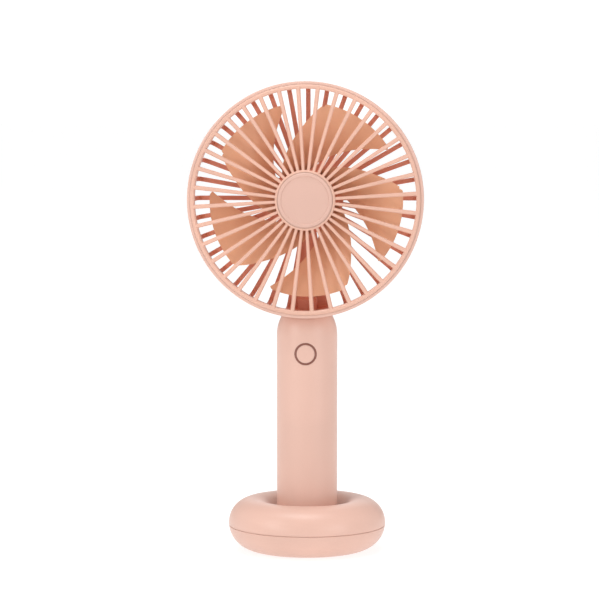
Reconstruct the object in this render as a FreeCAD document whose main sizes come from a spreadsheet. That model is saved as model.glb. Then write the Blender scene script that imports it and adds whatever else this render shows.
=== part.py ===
import FreeCAD, Part
import Sketcher, os, math

# Handheld electric fan standing in a ring-shaped base.
# Millimetres, +Z up, front of the fan towards -Y, origin at the centre of the
# base's underside.
os.makedirs("parts", exist_ok=True)
doc = FreeCAD.newDocument("handheld_fan")
V = FreeCAD.Vector

# ------------------------------------------------------------ driving sizes
DIMS = [
    # head
    ("head_z", 154.3), ("ring_or", 51.0), ("ring_ir", 49.6), ("ring_front", -17.4),
    ("ring_back", -2.2), ("rebate_r", 49.75), ("ledge_r", 48.4), ("ledge_front", -13.7),
    ("ledge_back", -12.5), ("rear_face", 11.0), ("rib_depth", 2.0), ("bowl_r", 5.0),
    ("bowl_cy", 6.0), ("bowl_cr", 45.6), ("rear_rib_w", 1.96), ("rib_count", 36),
    ("hub_back_r", 15.5), ("seat_r", 10.1), ("seat_or", 11.5), ("seat_front", 2.4),
    ("seat_floor", 9.1), ("recess_r", 12.2), ("recess_floor", 9.9), ("hub_back", 11.4),
    ("web_angle", 20.0), ("web_more", 0.15), ("stub_r", 7.9), ("stub_low", -63.0),
    ("lead_y", 3.65), ("lead_slot_y", 9.8),
    # front grille
    ("rim_ir", 47.75), ("rim_or", 49.66), ("rim_front", -18.2), ("rim_back", -13.7),
    ("hub_r", 13.0), ("hub_front", -18.6), ("hub_rear", -15.4), ("cap_seat_r", 12.05),
    ("cap_seat_y", -17.2), ("front_rib_in", 1.3), ("front_rib_out", 1.8),
    ("front_rib_front", -18.2), ("front_rib_deep", 2.0), ("grille_turn", 6.5),
    ("cap_r", 11.9), ("cap_band_r", 10.4), ("cap_band_y", -18.95), ("cap_face_y", -18.6),
    # impeller and motor
    ("blade_tip_r", 42.06), ("blade_t", 1.2), ("cup_r", 12.4), ("cup_ir", 11.3),
    ("cup_front", -13.4), ("cup_wall", 1.2), ("cup_back", 1.4), ("boss_r", 2.4),
    ("boss_back", -5.0), ("shaft_r", 1.0), ("shaft_bore_r", 1.02), ("bush_r", 1.06),
    ("can_r", 10.0), ("can_wall", 0.8), ("can_front", -3.0), ("can_back", 9.0),
    ("nose_r", 3.1), ("nose_front", -4.2), ("magnet_ir", 7.8), ("armature_r", 7.3),
    # handle
    ("handle_r", 13.25), ("handle_ir", 11.45), ("shell_low", 5.3), ("dome_low", 94.9),
    ("dome_rise", 15.3), ("dome_in_rise", 13.5), ("saddle_gap", 0.06), ("parting_angle", 0.9), ("cap_low", 4.1),
    ("plug_r", 11.35), ("plug_top", 7.6), ("button_z", 87.5), ("button_r", 3.91),
    ("bezel_ir", 4.0), ("bezel_or", 4.84), ("bezel_hole_r", 4.88), ("button_face_r", 13.2),
    ("bezel_face_r", 13.32), ("flange_r", 4.4), ("button_stem_r", 1.5), ("stem_face", -4.6),
    ("board_front", 2.1), ("board_back", 3.1), ("board_low", 75.0), ("board_top", 90.8),
    ("board_hw", 9.0), ("switch_hw", 3.0), ("switch_front", -1.6), ("switch_bore_r", 1.68),
    ("switch_stem_r", 1.6), ("usb_z", 79.2), ("usb_w", 8.94), ("usb_thick", 3.26),
    ("usb_wall", 0.3), ("usb_mouth", 12.35), ("cell_r", 9.2), ("cell_low", 8.7),
    ("cell_top", 73.6), ("lead_r", 0.45), ("screw_x", 4.5), ("screw_z", 97.0),
    ("screw_r", 0.95), ("pilot_r", 1.0), ("screw_head_r", 1.85),
    # base
    ("eq_z", 12.17), ("up_cr", 23.95), ("up_r", 10.46), ("low_cr", 22.46), ("low_r", 11.95),
    ("base_wall", 1.8), ("seam_z", 11.06), ("seam_gap", 0.1),
    ("socket_r", 13.58), ("socket_or", 15.35), ("socket_floor", 4.0),
    ("base_under", 0.5), ("base_floor", 3.2), ("foot_ir", 15.4), ("foot_or", 21.2),
    ("foot_top", 1.05), ("weight_ir", 17.7), ("weight_or", 26.9), ("weight_top", 9.2),
    ("post_cr", 18.5), ("post_r", 2.4), ("post_top", 18.6), ("post_hole_r", 3.0),
]
sheet = doc.addObject("Spreadsheet::Sheet", "dims")
for i, (name, val) in enumerate(DIMS):
    sheet.set("A%d" % (i + 1), name)
    sheet.set("B%d" % (i + 1), str(val))
    sheet.setAlias("B%d" % (i + 1), name)
doc.recompute()
D = dict(DIMS)


def val(e):
    """Number for an expression written with the sheet's names."""
    if isinstance(e, (int, float)):
        return float(e)
    s = e
    for n in sorted(D, key=len, reverse=True):
        s = s.replace("dims." + n, "(%r)" % float(D[n]))
    return _calc(s)


def _calc(s):
    """Sum, difference, product and quotient of plain numbers."""
    s = s.replace(" ", "")
    pos = [0]

    def atom():
        if pos[0] < len(s) and s[pos[0]] == "-":
            pos[0] += 1
            return -atom()
        if s[pos[0]] == "(":
            pos[0] += 1
            r = add()
            pos[0] += 1
            return r
        j = pos[0]
        while j < len(s) and (s[j].isdigit() or s[j] == "."):
            j += 1
        r = float(s[pos[0]:j])
        pos[0] = j
        return r

    def mul():
        r = atom()
        while pos[0] < len(s) and s[pos[0]] in "*/":
            o = s[pos[0]]
            pos[0] += 1
            q = atom()
            r = r * q if o == "*" else r / q
        return r

    def add():
        r = mul()
        while pos[0] < len(s) and s[pos[0]] in "+-":
            o = s[pos[0]]
            pos[0] += 1
            q = mul()
            r = r + q if o == "+" else r - q
        return r

    return add()


SUB = []


def keep(o, name):
    o.Label = name
    SUB.append(o)
    return o


def new_body(name):
    b = doc.addObject("PartDesign::Body", name)
    return b


def plane(b, role):
    for f in b.Origin.OriginFeatures:
        if f.Role == role:
            return f


def new_sketch(b, role, name, off=None):
    sk = b.newObject("Sketcher::SketchObject", name)
    sk.AttachmentSupport = [(plane(b, role), "")]
    sk.MapMode = "FlatFace"
    if off is not None:
        sk.AttachmentOffset = FreeCAD.Placement(V(0, 0, val(off)), FreeCAD.Rotation())
        if isinstance(off, str):
            sk.setExpression("AttachmentOffset.Base.z", off)
    return sk


CN = [0]


def pin_point(sk, geo, pos, x, y):
    """Place one sketch point by two driven distances from the origin."""
    for kind, ax, e in (("DistanceX", -2, x), ("DistanceY", -1, y)):
        if abs(val(e)) < 1e-9:
            sk.addConstraint(Sketcher.Constraint("PointOnObject", geo, pos, ax))
        else:
            i = sk.addConstraint(Sketcher.Constraint(kind, -1, 1, geo, pos, val(e)))
            if isinstance(e, str):
                CN[0] += 1
                nm = "d%d" % CN[0]
                sk.renameConstraint(i, nm)
                sk.setExpression("Constraints." + nm, e)


def profile(sk, pts):
    """Closed outline. pts: (x, y) or (x, y, ('arc', cx, cy, ccw)) for an arc
    that runs from this point to the next one about a centre."""
    n = len(pts)
    g0 = sk.GeometryCount
    for i, p in enumerate(pts):
        q = pts[(i + 1) % n]
        a, b = V(val(p[0]), val(p[1]), 0), V(val(q[0]), val(q[1]), 0)
        if len(p) > 2:
            _, cx, cy, ccw = p[2]
            c = V(val(cx), val(cy), 0)
            r = (a - c).Length
            t0 = math.atan2(a.y - c.y, a.x - c.x)
            t1 = math.atan2(b.y - c.y, b.x - c.x)
            if ccw:
                while t1 <= t0:
                    t1 += 2 * math.pi
                sk.addGeometry(Part.ArcOfCircle(Part.Circle(c, V(0, 0, 1), r), t0, t1), False)
            else:
                while t0 <= t1:
                    t0 += 2 * math.pi
                sk.addGeometry(Part.ArcOfCircle(Part.Circle(c, V(0, 0, 1), r), t1, t0), False)
        else:
            sk.addGeometry(Part.LineSegment(a, b), False)

    def ends(i):
        p = pts[i % n]
        g = g0 + (i % n)
        if len(p) > 2 and not p[2][3]:
            return (g, 2), (g, 1)
        return (g, 1), (g, 2)

    for i in range(n):
        s, e = ends(i)
        s2, _ = ends(i + 1)
        sk.addConstraint(Sketcher.Constraint("Coincident", e[0], e[1], s2[0], s2[1]))
    for i, p in enumerate(pts):
        s, e = ends(i)
        pin_point(sk, s[0], s[1], p[0], p[1])
        if len(p) > 2:
            c = V(val(p[2][1]), val(p[2][2]), 0)
            r = (V(val(p[0]), val(p[1]), 0) - c).Length
            sk.addConstraint(Sketcher.Constraint("Radius", g0 + i, r))


def circle(sk, x, y, r):
    g = sk.addGeometry(Part.Circle(V(val(x), val(y), 0), V(0, 0, 1), val(r)), False)
    pin_point(sk, g, 3, x, y)
    i = sk.addConstraint(Sketcher.Constraint("Radius", g, val(r)))
    if isinstance(r, str):
        CN[0] += 1
        nm = "d%d" % CN[0]
        sk.renameConstraint(i, nm)
        sk.setExpression("Constraints." + nm, r)
    return g


def rect(sk, x0, y0, x1, y1):
    profile(sk, [(x0, y0), (x1, y0), (x1, y1), (x0, y1)])


def revolve(b, sk, name, angle=360.0, groove=False, axis=None, rev=False):
    f = b.newObject("PartDesign::Groove" if groove else "PartDesign::Revolution", name)
    f.Profile = sk
    f.ReferenceAxis = axis or (sk, ["V_Axis"])
    f.Angle = angle
    f.Reversed = rev
    sk.Visibility = False
    doc.recompute()
    return f


def vol(b):
    return b.Shape.Volume


def pad(b, sk, name, length, mid=False, rev=False, expr=None):
    f = b.newObject("PartDesign::Pad", name)
    f.Profile = sk
    f.Length = val(length)
    if isinstance(length, str):
        f.setExpression("Length", length)
    if mid:
        f.Midplane = True
    f.Reversed = rev
    sk.Visibility = False
    doc.recompute()
    return f


def pocket(b, sk, name, length=None, mid=False, rev=False, through=False):
    f = b.newObject("PartDesign::Pocket", name)
    f.Profile = sk
    if through:
        f.Type = 1
    else:
        f.Length = val(length)
        if isinstance(length, str):
            f.setExpression("Length", length)
    if mid:
        f.Midplane = True
    f.Reversed = rev
    sk.Visibility = False
    doc.recompute()
    return f


def carve(b, sk, name, length):
    """Pocket in whichever direction takes away more material."""
    f = b.newObject("PartDesign::Pocket", name)
    f.Profile = sk
    f.Length = val(length)
    if isinstance(length, str):
        f.setExpression("Length", length)
    sk.Visibility = False
    left = []
    for r in (False, True):
        f.Reversed = r
        doc.recompute()
        try:
            left.append(f.Shape.Volume if f.Shape.isValid() and f.Shape.Volume > 0 else 1e18)
        except Exception:
            left.append(1e18)
    f.Reversed = left[1] < left[0]
    doc.recompute()
    return f


def polar(b, feats, name, count, role="Y_Axis", angle=360.0):
    f = b.newObject("PartDesign::PolarPattern", name)
    f.Originals = feats
    f.Axis = (plane(b, role), [""])
    f.Angle = angle
    f.Occurrences = int(val(count))
    if isinstance(count, str):
        f.setExpression("Occurrences", count)
    b.Tip = f
    doc.recompute()
    return f


def obround(sk, w, hgt, zc):
    hh = hgt / 2.0
    hw = w / 2.0 - hh
    profile(sk, [(-hw, zc - hh), (hw, zc - hh, ("arc", hw, zc, True)),
                 (hw + hh, zc, ("arc", hw, zc, True)), (hw, zc + hh),
                 (-hw, zc + hh, ("arc", -hw, zc, True)), (-hw - hh, zc, ("arc", -hw, zc, True))])


def to_y(b, f, y0, y1):
    bb = b.Shape.BoundBox
    if abs(bb.YMin - y0) > 0.02 or abs(bb.YMax - y1) > 0.02:
        f.Reversed = not f.Reversed
        doc.recompute()


def place_head(o, turn=None):
    o.Placement = FreeCAD.Placement(V(0, 0, val("dims.head_z")),
                                    FreeCAD.Rotation(V(0, 1, 0), val(turn) if turn else 0))
    o.setExpression("Placement.Base.z", "dims.head_z")
    if turn:
        o.setExpression("Placement.Rotation.Angle", turn)


def near_edges(shape, test):
    return ["Edge%d" % (i + 1) for i, e in enumerate(shape.Edges) if test(e)]


def round_edges(b, base, name, r, test, chamfer=False):
    es = near_edges(base.Shape, test)
    f = b.newObject("PartDesign::Chamfer" if chamfer else "PartDesign::Fillet", name)
    f.Base = (base, es)
    if chamfer:
        f.Size = r
    else:
        f.Radius = r
    doc.recompute()
    return f


def is_circle(e, r, k, at, tol=0.02):
    """True for a circular edge of radius r whose centre has coordinate k = at."""
    c = e.Curve
    if not hasattr(c, "Radius") or not hasattr(c, "Center"):
        return False
    return abs(c.Radius - r) < tol and abs(c.Center[k] - at) < tol


# ================================================================ front grille
b = new_body("front_grille")
sk = new_sketch(b, "XY_Plane", "grille_rim_outline")
profile(sk, [("dims.rim_ir", "dims.rim_front+0.5"), ("dims.rim_ir+0.5", "dims.rim_front", ),
             ("dims.rim_or-0.6", "dims.rim_front"), ("dims.rim_or", "dims.rim_front+0.6"),
             ("dims.rim_or", "dims.rim_back"), ("dims.rim_ir", "dims.rim_back")])
revolve(b, sk, "grille_rim")
# one radial rib, narrow at the hub and wider at the rim, softened front edges
rib_secs = []
for nm, at, w in (("rib_inner_end", "dims.hub_r-0.6", "dims.front_rib_in"),
                  ("rib_outer_end", "dims.rim_ir+0.5", "dims.front_rib_out")):
    s = new_sketch(b, "XY_Plane", nm, at)
    profile(s, [("0-" + w + "/2", "dims.front_rib_front+0.45"),
                ("0-" + w + "/2+0.35", "dims.front_rib_front"),
                (w + "/2-0.35", "dims.front_rib_front"),
                (w + "/2", "dims.front_rib_front+0.45"),
                (w + "/2", "dims.front_rib_front+dims.front_rib_deep"),
                ("0-" + w + "/2", "dims.front_rib_front+dims.front_rib_deep")])
    rib_secs.append(s)
lf = b.newObject("PartDesign::AdditiveLoft", "grille_rib")
lf.Profile = rib_secs[0]
lf.Sections = [rib_secs[1]]
lf.Ruled = True
doc.recompute()
polar(b, [lf], "grille_ribs", "dims.rib_count")
sk = new_sketch(b, "XY_Plane", "grille_hub_outline")
profile(sk, [(0, "dims.cap_seat_y"), ("dims.cap_seat_r", "dims.cap_seat_y"),
             ("dims.cap_seat_r", "dims.hub_front"), ("dims.hub_r-0.35", "dims.hub_front"),
             ("dims.hub_r", "dims.hub_front+0.35"), ("dims.hub_r", "dims.hub_rear"),
             (0, "dims.hub_rear")])
revolve(b, sk, "grille_hub")
place_head(b, "dims.grille_turn")
keep(b, "front_grille")

# ================================================================ front hub cap
b = new_body("front_hub_cap")
sk = new_sketch(b, "XY_Plane", "hub_cap_outline")
profile(sk, [(0, "dims.cap_seat_y"), (0, "dims.cap_face_y"),
             ("dims.cap_band_r-0.15", "dims.cap_face_y"), ("dims.cap_band_r", "dims.cap_band_y+0.1"),
             ("dims.cap_band_r+0.15", "dims.cap_band_y"), ("dims.cap_r-0.45", "dims.cap_band_y"),
             ("dims.cap_r", "dims.cap_band_y+0.4"), ("dims.cap_r", "dims.cap_seat_y")])
revolve(b, sk, "hub_cap_disc")
place_head(b)
keep(b, "front_hub_cap")

# ================================================================ rear cover
b = new_body("rear_cover")
sk = new_sketch(b, "XY_Plane", "ring_wall_outline")
profile(sk, [("dims.rebate_r", "dims.ring_front"), ("dims.ring_or-0.55", "dims.ring_front"),
             ("dims.ring_or-0.15", "dims.ring_front+0.2"),
             ("dims.ring_or", "dims.ring_front+0.6"), ("dims.ring_or", "dims.ring_back-0.7"),
             ("dims.ring_or-0.5", "dims.ring_back"), ("dims.ring_ir", "dims.ring_back"),
             ("dims.ring_ir", "dims.ledge_back"), ("dims.ledge_r", "dims.ledge_back-0.4"),
             ("dims.ledge_r", "dims.ledge_front"), ("dims.rebate_r", "dims.ledge_front")])
revolve(b, sk, "ring_wall")


def strip(sk, r_in, sign=-1, more="0"):
    """Bowl-shaped strip: straight behind the ring wall, rounded corner, flat back.
    Sketch plane YZ, so the radius runs along the sketch's second axis.
    `more` thickens it on both faces."""
    s = "-" if sign < 0 else ""

    def R(e):
        return "0-(" + e + ")" if sign < 0 else e
    m = "+" + more
    profile(sk, [("dims.ring_back-1.6", R("dims.ring_or-0.45" + m)),
                 ("dims.bowl_cy", R("dims.bowl_cr+dims.bowl_r" + m),
                  ("arc", "dims.bowl_cy", R("dims.bowl_cr"), sign < 0)),
                 ("dims.rear_face" + m, R("dims.bowl_cr")),
                 ("dims.rear_face" + m, R(r_in)),
                 ("dims.rear_face-dims.rib_depth-" + more, R(r_in)),
                 ("dims.rear_face-dims.rib_depth-" + more, R("dims.bowl_cr"),
                  ("arc", "dims.bowl_cy", R("dims.bowl_cr"), sign > 0)),
                 ("dims.bowl_cy", R("dims.bowl_cr+dims.bowl_r-dims.rib_depth-" + more)),
                 ("dims.ring_back-1.6", R("dims.bowl_cr+dims.bowl_r-dims.rib_depth+0.5-" + more))])


sk = new_sketch(b, "YZ_Plane", "rear_rib_outline")
strip(sk, "dims.recess_r+1.5")
p1 = pad(b, sk, "rear_rib", "dims.rear_rib_w", mid=True)
polar(b, [p1], "rear_ribs", "dims.rib_count")
sk = new_sketch(b, "XY_Plane", "motor_seat_outline")
profile(sk, [(0, "dims.seat_floor"), ("dims.seat_r", "dims.seat_floor"),
             ("dims.seat_r", "dims.seat_front"), ("dims.seat_or", "dims.seat_front"),
             ("dims.seat_or", "dims.seat_floor-0.1"), ("dims.hub_back_r", "dims.seat_floor-0.1"),
             ("dims.hub_back_r", "dims.hub_back-0.5"), ("dims.hub_back_r-0.5", "dims.hub_back"),
             ("dims.recess_r", "dims.hub_back"), ("dims.recess_r", "dims.recess_floor"),
             (0, "dims.recess_floor")])
revolve(b, sk, "motor_seat")
# the two lowest gaps are closed from hub to rim, where the head meets the handle
sk = new_sketch(b, "YZ_Plane", "web_outline")
strip(sk, "dims.recess_r+1.9", more="dims.web_more")
f = b.newObject("PartDesign::Revolution", "neck_web")
f.Profile = sk
f.ReferenceAxis = (sk, ["H_Axis"])
f.Angle = val("dims.web_angle")
f.setExpression("Angle", "dims.web_angle")
f.Midplane = True
sk.Visibility = False
doc.recompute()
# lead channel behind the lowest rib, from the motor seat down to the web
sk = new_sketch(b, "YZ_Plane", "channel_outline")
rect(sk, "dims.lead_slot_y-1.9", "0-44.5", "dims.rear_face", "0-dims.hub_back_r+0.6")
pad(b, sk, "lead_channel", 4.0, mid=True)
sk = new_sketch(b, "YZ_Plane", "neck_block_outline")
profile(sk, [(1.2, "0-dims.ring_or+1.2"), (1.2, "0-44.6"), (2.6, "0-43.3"),
             ("dims.lead_slot_y", "0-43.3"), ("dims.lead_slot_y", "0-46.4"),
             (6.8, "0-dims.ring_or+1.2")])
pad(b, sk, "neck_block", 8.0, mid=True)
# round stub that the handle's halves close around
sk = new_sketch(b, "XY_Plane", "stub_outline", "dims.stub_low")
circle(sk, 0, 0, "dims.stub_r")
pad(b, sk, "neck_stub", "0-dims.stub_low-49.4")
# way for the leads
sk = new_sketch(b, "XY_Plane", "lead_hole_outline", "dims.stub_low-1")
circle(sk, 0, "dims.lead_y", 1.45)
pocket(b, sk, "lead_hole", "0-dims.stub_low-44.9+1", rev=True)
sk = new_sketch(b, "YZ_Plane", "lead_turn_outline")
rect(sk, "dims.lead_y-1.2", "0-46.2", "dims.lead_slot_y+0.65", "0-44.5")
pocket(b, sk, "lead_turn", 2.6, mid=True)
sk = new_sketch(b, "YZ_Plane", "lead_tunnel_outline")
rect(sk, "dims.lead_slot_y-0.65", "0-45.6", "dims.lead_slot_y+0.65", "0-10.2")
pocket(b, sk, "lead_tunnel", 2.4, mid=True)
# terminal slots in the floor of the motor seat
sk = new_sketch(b, "XZ_Plane", "terminal_slots_outline")
for x in (-4.0, 4.0):
    rect(sk, x - 0.6, -1.6, x + 0.6, 1.6)
pocket(b, sk, "terminal_slots", 40.0, mid=True)
# pilot holes for the two handle screws
sk = new_sketch(b, "XZ_Plane", "stub_pilots_outline")
for x in ("0-dims.screw_x", "dims.screw_x"):
    circle(sk, x, "dims.screw_z-dims.head_z", "dims.pilot_r")
pocket(b, sk, "stub_pilots", 30.0, mid=True)
place_head(b)
keep(b, "rear_cover")

# ================================================================ rear hub cap
b = new_body("rear_hub_cap")
sk = new_sketch(b, "XY_Plane", "rear_cap_outline")
profile(sk, [(0, 11.0), ("dims.recess_r-1.3", 11.0), ("dims.recess_r-1.3", "dims.recess_floor"),
             ("dims.recess_r-0.1", "dims.recess_floor"), ("dims.recess_r-0.1", 11.6),
             ("dims.recess_r-0.7", 12.1), (0, 12.3)])
revolve(b, sk, "rear_cap_disc")
sk = new_sketch(b, "YZ_Plane", "rear_cap_notch_outline")
rect(sk, 9.0, -14.0, 10.95, -9.0)
pocket(b, sk, "rear_cap_notch", 3.2, mid=True)
place_head(b)
keep(b, "rear_hub_cap")

# ================================================================ impeller
b = new_body("impeller_hub")
sk = new_sketch(b, "XY_Plane", "cup_outline")
profile(sk, [("dims.shaft_bore_r", "dims.cup_front-0.5"), ("dims.boss_r+1.4", "dims.cup_front-0.4"),
             ("dims.cup_r-2.6", "dims.cup_front"), ("dims.cup_r-0.7", "dims.cup_front+0.5"),
             ("dims.cup_r", "dims.cup_front+1.5"),
             ("dims.cup_r", "dims.cup_back"), ("dims.cup_ir", "dims.cup_back"),
             ("dims.cup_ir", "dims.cup_front+dims.cup_wall+0.9"),
             ("dims.cup_ir-1.0", "dims.cup_front+dims.cup_wall"),
             ("dims.boss_r", "dims.cup_front+dims.cup_wall"),
             ("dims.boss_r", "dims.boss_back"), ("dims.shaft_bore_r", "dims.boss_back")])
revolve(b, sk, "cup_shell")
place_head(b)
hub_body = b

# five swept, twisted blades; the surfaces run through stations from root to tip
# columns: radius, leading and trailing edge angle (degrees clockwise from the
# top, seen from the front), y of each edge
STA = [(11.75, -53.0, 2.0, -11.9, -0.9), (14.5, -44.0, 11.5, -12.1, -1.1),
       (18.2, -32.5, 21.5, -12.3, -1.5), (22.5, -20.5, 31.6, -12.4, -2.0),
       (27.7, -9.3, 41.0, -12.4, -2.7), (32.4, -1.3, 48.0, -12.4, -3.4),
       (37.0, 4.9, 54.0, -12.3, -4.2), (40.5, 9.4, 58.0, -12.2, -4.9),
       (D["blade_tip_r"], 11.4, 59.6, -12.2, -5.2)]


TIP_CCW, TIP_CW = STA[-1][1], STA[-1][2]


def blade():
    nv = 9

    def grid(dy):
        rows = []
        for r, a0, a1, y0, y1 in STA:
            row = []
            for j in range(nv):
                v = j / (nv - 1.0)
                a = math.radians(a0 + (a1 - a0) * v)
                y = y0 + (y1 - y0) * v - 0.9 * math.sin(math.pi * v) + dy
                row.append(V(r * math.sin(a), y, r * math.cos(a)))
            rows.append(row)
        return rows
    gt = D["blade_t"]
    top, bot = grid(-gt / 2), grid(gt / 2)
    faces, edge = [], []
    for g in (top, bot):
        s = Part.BSplineSurface()
        s.interpolate(g)
        faces.append(s.toShape())
        edge.append([s.uIso(s.bounds()[0]), s.uIso(s.bounds()[1]),
                     s.vIso(s.bounds()[2]), s.vIso(s.bounds()[3])])
    for k in range(4):
        faces.append(Part.makeRuledSurface(edge[0][k].toShape(), edge[1][k].toShape()))
    sh = Part.makeShell(faces)
    sh.sewShape()
    so = Part.makeSolid(sh)
    if so.Volume < 0:
        so.reverse()
    return so


one = blade()
# trim the blade to the tip circle and round its two tip corners
trim = Part.makeCylinder(D["blade_tip_r"] - 0.02, 60, V(0, -30, 0), V(0, 1, 0))
one = one.common(trim)
for r, a, cr, sgn in ((D["blade_tip_r"], TIP_CW, 2.8, -1), (D["blade_tip_r"], TIP_CCW, 1.3, 1)):
    # remove the sliver between the square corner and a rounding cylinder
    t = math.radians(a)
    rim = V(math.sin(t), 0, math.cos(t))
    side = V(math.cos(t), 0, -math.sin(t)) * sgn
    cen = rim * (r - cr) + side * cr
    blk = Part.makePolygon([rim * (r - cr) + side * cr + V(0, -30, 0),
                            rim * (r - cr) - side * 3 + V(0, -30, 0),
                            rim * (r + 3) - side * 3 + V(0, -30, 0),
                            rim * (r + 3) + side * cr + V(0, -30, 0),
                            rim * (r - cr) + side * cr + V(0, -30, 0)])
    blk = Part.Face(blk).extrude(V(0, 60, 0))
    rod = Part.makeCylinder(cr, 60, cen + V(0, -30, 0), V(0, 1, 0))
    cut = one.cut(blk.cut(rod))
    if cut.isValid() and len(cut.Solids) == 1 and cut.Volume > 0.9 * one.Volume:
        one = cut.Solids[0]
if isinstance(one, Part.Compound) or one.ShapeType != "Solid":
    one = one.Solids[0]
blades = doc.addObject("Part::Feature", "impeller_blades")
copies = []
for k in range(5):
    c = one.copy()
    c.rotate(V(0, 0, 0), V(0, 1, 0), 72.0 * k)
    copies.append(c)
blades.Shape = Part.makeCompound(copies)
place_head(blades)
imp = doc.addObject("Part::MultiFuse", "fan_impeller")
imp.Shapes = [hub_body, blades]
imp.Refine = False
doc.recompute()
keep(imp, "fan_impeller")

# ================================================================ motor
b = new_body("motor_can")
sk = new_sketch(b, "XY_Plane", "can_outline")
profile(sk, [("dims.bush_r", "dims.nose_front"), ("dims.nose_r", "dims.nose_front"),
             ("dims.nose_r", "dims.can_front"), ("dims.can_r-0.5", "dims.can_front"),
             ("dims.can_r", "dims.can_front+0.5"), ("dims.can_r", "dims.can_back"),
             ("dims.can_r-dims.can_wall", "dims.can_back"),
             ("dims.can_r-dims.can_wall", "dims.can_front+dims.can_wall"),
             ("dims.bush_r", "dims.can_front+dims.can_wall")])
revolve(b, sk, "can_shell")
place_head(b)
keep(b, "motor_can")

b = new_body("motor_end_cap")
sk = new_sketch(b, "XY_Plane", "end_cap_outline")
profile(sk, [("dims.bush_r", 7.0), (3.0, 7.0), (3.4, 7.4), ("dims.can_r-dims.can_wall-0.03", 7.4),
             ("dims.can_r-dims.can_wall-0.03", "dims.can_back"), (0, "dims.can_back"), (0, 8.5),
             ("dims.bush_r", 8.5)])
revolve(b, sk, "end_cap_disc")
sk = new_sketch(b, "XZ_Plane", "end_cap_slots_outline")
for x in (-4.0, 4.0):
    rect(sk, x - 0.3, -1.2, x + 0.3, 1.2)
pocket(b, sk, "end_cap_slots", 40.0, mid=True)
place_head(b)
keep(b, "motor_end_cap")

b = new_body("motor_terminals")
b.AllowCompound = True
sk = new_sketch(b, "XZ_Plane", "terminals_outline", -10.75)
for x in (-4.0, 4.0):
    rect(sk, x - 0.25, -1.1, x + 0.25, 1.1)
t = pad(b, sk, "terminal_blades", 3.15)
if b.Shape.BoundBox.YMin < 7.0 or b.Shape.BoundBox.YMax > 10.8:
    t.Reversed = True
    doc.recompute()
place_head(b)
keep(b, "motor_terminals")

b = new_body("motor_magnets")
b.AllowCompound = True
sk = new_sketch(b, "XZ_Plane", "magnets_outline")
for s in (-1, 1):
    ro, ri, h = D["can_r"] - D["can_wall"] - 0.05, D["magnet_ir"], math.radians(68)
    c0, s0 = math.cos(h), math.sin(h)
    profile(sk, [(s * ri * c0, -ri * s0, ("arc", 0, 0, s > 0)), (s * ri * c0, ri * s0),
                 (s * ro * c0, ro * s0, ("arc", 0, 0, s < 0)), (s * ro * c0, -ro * s0)])
m = pad(b, sk, "magnet_arcs", 8.0)
b.Placement = FreeCAD.Placement(V(0, -1.6 if b.Shape.BoundBox.YMin > -0.5 else 6.4, D["head_z"]),
                                FreeCAD.Rotation())
b.setExpression("Placement.Base.z", "dims.head_z")
keep(b, "motor_magnets")

b = new_body("motor_rotor")
sk = new_sketch(b, "XY_Plane", "rotor_core_outline")
profile(sk, [("dims.shaft_bore_r", -0.6), (2.6, -0.6), (2.6, 0.2), ("dims.armature_r", 0.2),
             ("dims.armature_r", 5.2), (2.4, 5.2), (2.4, 6.8), ("dims.shaft_bore_r", 6.8)])
revolve(b, sk, "rotor_core")
sk = new_sketch(b, "XZ_Plane", "rotor_slot_outline")
rect(sk, -0.7, 4.4, 0.7, 9.0)
c1 = pocket(b, sk, "rotor_slot", 40.0, mid=True)
sk = new_sketch(b, "XZ_Plane", "rotor_slot_root_outline")
circle(sk, 0, 4.4, 1.6)
c2 = pocket(b, sk, "rotor_slot_root", 40.0, mid=True)
pp = polar(b, [c1, c2], "rotor_slots", 3)
place_head(b)
keep(b, "motor_rotor")

b = new_body("motor_shaft")
sk = new_sketch(b, "XY_Plane", "shaft_outline")
profile(sk, [(0, -13.6), ("dims.shaft_r-0.2", -13.6), ("dims.shaft_r", -13.4),
             ("dims.shaft_r", 8.1), ("dims.shaft_r-0.2", 8.3), (0, 8.3)])
revolve(b, sk, "shaft_rod")
place_head(b)
keep(b, "motor_shaft")


# ================================================================ leads
def lead(points, r, bend):
    """Round lead through the points with rounded corners."""
    pts = [V(*p) for p in points]
    edges, last = [], pts[0]
    for i in range(1, len(pts) - 1):
        a, c, d = pts[i - 1], pts[i], pts[i + 1]
        u, w = (a - c).normalize(), (d - c).normalize()
        ang = u.getAngle(w)
        t = min(bend / math.tan(ang / 2), 0.48 * (a - c).Length, 0.48 * (d - c).Length)
        rad = t * math.tan(ang / 2)
        p, q = c + u * t, c + w * t
        mid = (u + w).normalize()
        cen = c + mid * (rad / math.sin(ang / 2))
        m = cen - mid * rad
        if (p - last).Length > 1e-6:
            edges.append(Part.LineSegment(last, p).toShape())
        edges.append(Part.Arc(p, m, q).toShape())
        last = q
    edges.append(Part.LineSegment(last, pts[-1]).toShape())
    path = Part.Wire(edges)
    d0 = (pts[1] - pts[0]).normalize()
    sec = Part.Wire(Part.Circle(pts[0], d0, r).toShape())
    sh = path.makePipeShell([sec], True, False)
    return sh if sh.ShapeType == "Solid" else Part.makeSolid(sh)


hz = D["head_z"]
both = []
for s in (-1, 1):
    both.append(lead([(s * 4.71, 10.4, hz - 0.2), (s * 4.71, 10.4, hz - 7.0),
                      (s * 0.56, 10.4, hz - 9.9),
                      (s * 0.56, D["lead_slot_y"], hz - 12.4),
                      (s * 0.56, D["lead_slot_y"], hz - 45.3),
                      (s * 0.56, D["lead_y"], hz - 45.45),
                      (s * 0.56, D["lead_y"], D["board_top"] - 2.2)], D["lead_r"], 1.1))
o = doc.addObject("Part::Feature", "motor_leads")
o.Shape = Part.makeCompound(both)
keep(o, "motor_leads")

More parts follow.
